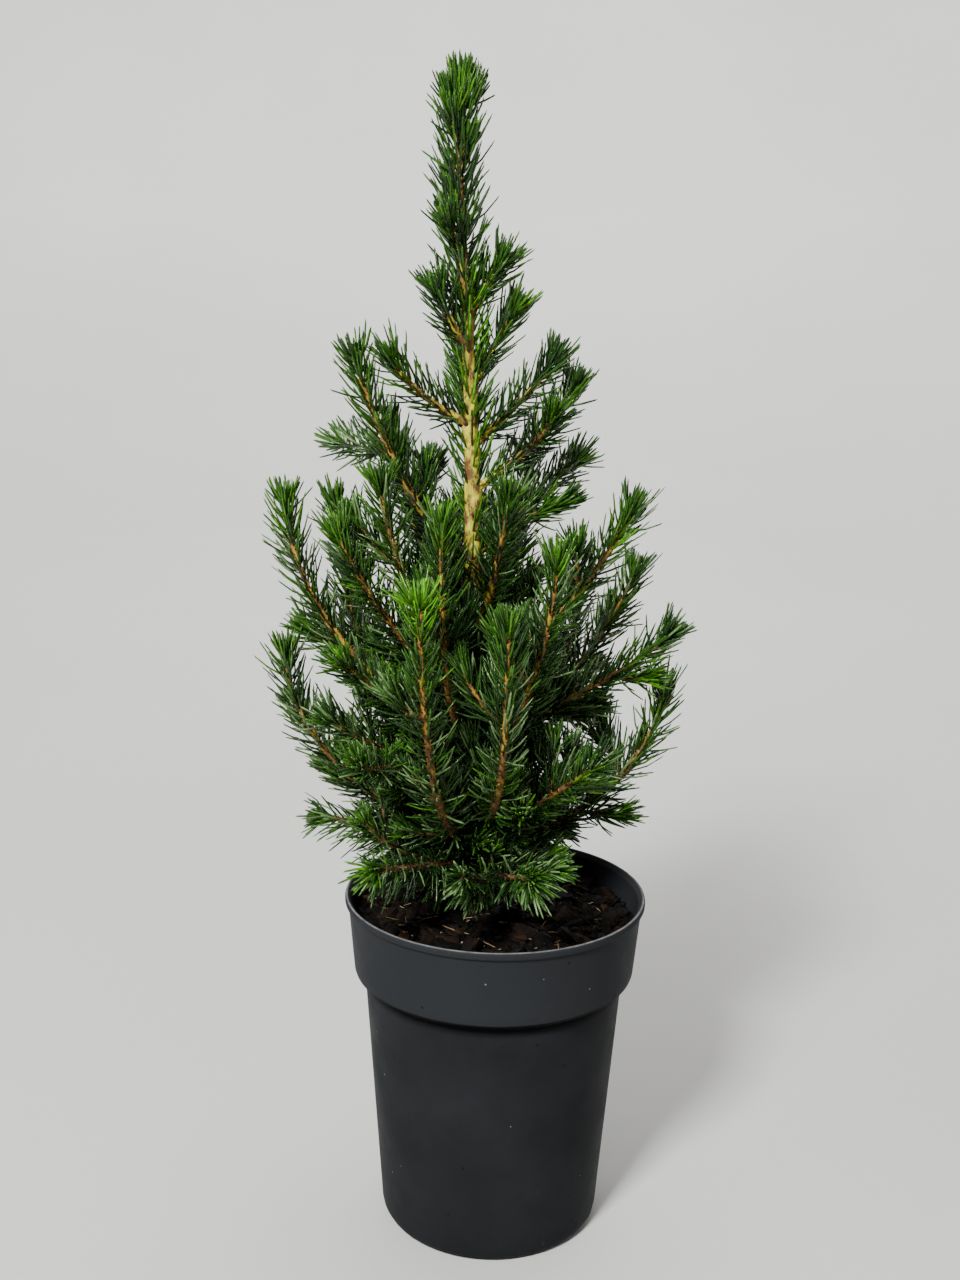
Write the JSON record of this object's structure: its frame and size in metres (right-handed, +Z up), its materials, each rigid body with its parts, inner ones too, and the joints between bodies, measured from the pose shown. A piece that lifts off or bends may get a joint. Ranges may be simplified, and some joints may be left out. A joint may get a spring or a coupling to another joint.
{
  "type": "potted dwarf alberta spruce",
  "caption": "Small dwarf conifer with upturned, needle-clad shoots up a slim leaning trunk, standing in dark potting soil in a tapered grey nursery pot with a deep collared rim.",
  "frame": {"origin": "centre of the pot's flat underside, on the surface that the pot stands on", "axes": "+Z up along the plant, -Y the front that faces the viewer, +X to the right as seen from the front"},
  "size_m": [0.1842, 0.1766, 0.496],
  "materials": {
    "pot_grey": "satin-matte charcoal grey plastic with a paler worn rim edge, fine specks and scratches",
    "soil_brown": "near-black moist potting mix of peat crumbs, bark chips and a few straw-coloured fibres",
    "trunk_bark": "thin flaky bark, pale tan with brown patches and dark knots where shoots leave",
    "bough_bark": "ridged orange-brown shoot bark with small needle pegs",
    "needles_green": "satin mid to dark green needles, brighter yellow-green at new tips"
  },
  "bodies": {
    "root": {"pot": "pot_grey", "soil": "soil_brown", "trunk": "trunk_bark", "bough_high_left": "bough_bark", "bough_high_front": "bough_bark", "bough_left_front_tall": "bough_bark", "bough_front_tall": "bough_bark", "bough_front_left": "bough_bark", "bough_front_right": "bough_bark", "bough_right_front": "bough_bark", "bough_right_tall": "bough_bark", "bough_right_outer": "bough_bark", "bough_right_low": "bough_bark", "bough_left_outer": "bough_bark", "bough_left_front": "bough_bark", "bough_left_low": "bough_bark", "bough_back_left_tall": "bough_bark", "bough_back_mid": "bough_bark", "bough_back_right": "bough_bark", "bough_back_left": "bough_bark", "mass_crest_right": "needles_green", "mass_crest_left": "needles_green", "mass_crest_right_low": "needles_green", "mass_upper_left": "needles_green", "mass_upper_right": "needles_green", "mass_upper_back": "needles_green", "mass_high_right": "needles_green", "mass_high_right_back": "needles_green", "mass_high_left": "needles_green", "mass_high_front": "needles_green", "mass_left_front_tall": "needles_green", "mass_front_tall": "needles_green", "mass_front_left": "needles_green", "mass_front_right": "needles_green", "mass_right_front": "needles_green", "mass_right_tall": "needles_green", "mass_right_back": "needles_green", "mass_right_outer": "needles_green", "mass_right_low": "needles_green", "mass_right_low_front": "needles_green", "mass_left_outer": "needles_green", "mass_left_front": "needles_green", "mass_left_back": "needles_green", "mass_left_front_low": "needles_green", "mass_left_low": "needles_green", "mass_left_low_front": "needles_green", "mass_skirt_left": "needles_green", "mass_skirt_front_left": "needles_green", "mass_skirt_front": "needles_green", "mass_skirt_right": "needles_green", "mass_skirt_back": "needles_green", "mass_back_left_tall": "needles_green", "mass_back_right_tall": "needles_green", "mass_back_mid": "needles_green", "mass_back_right": "needles_green", "mass_back_left": "needles_green", "mass_back_low": "needles_green", "mass_leader_low": "needles_green", "mass_leader_top": "needles_green"}
  },
  "joints": []
}
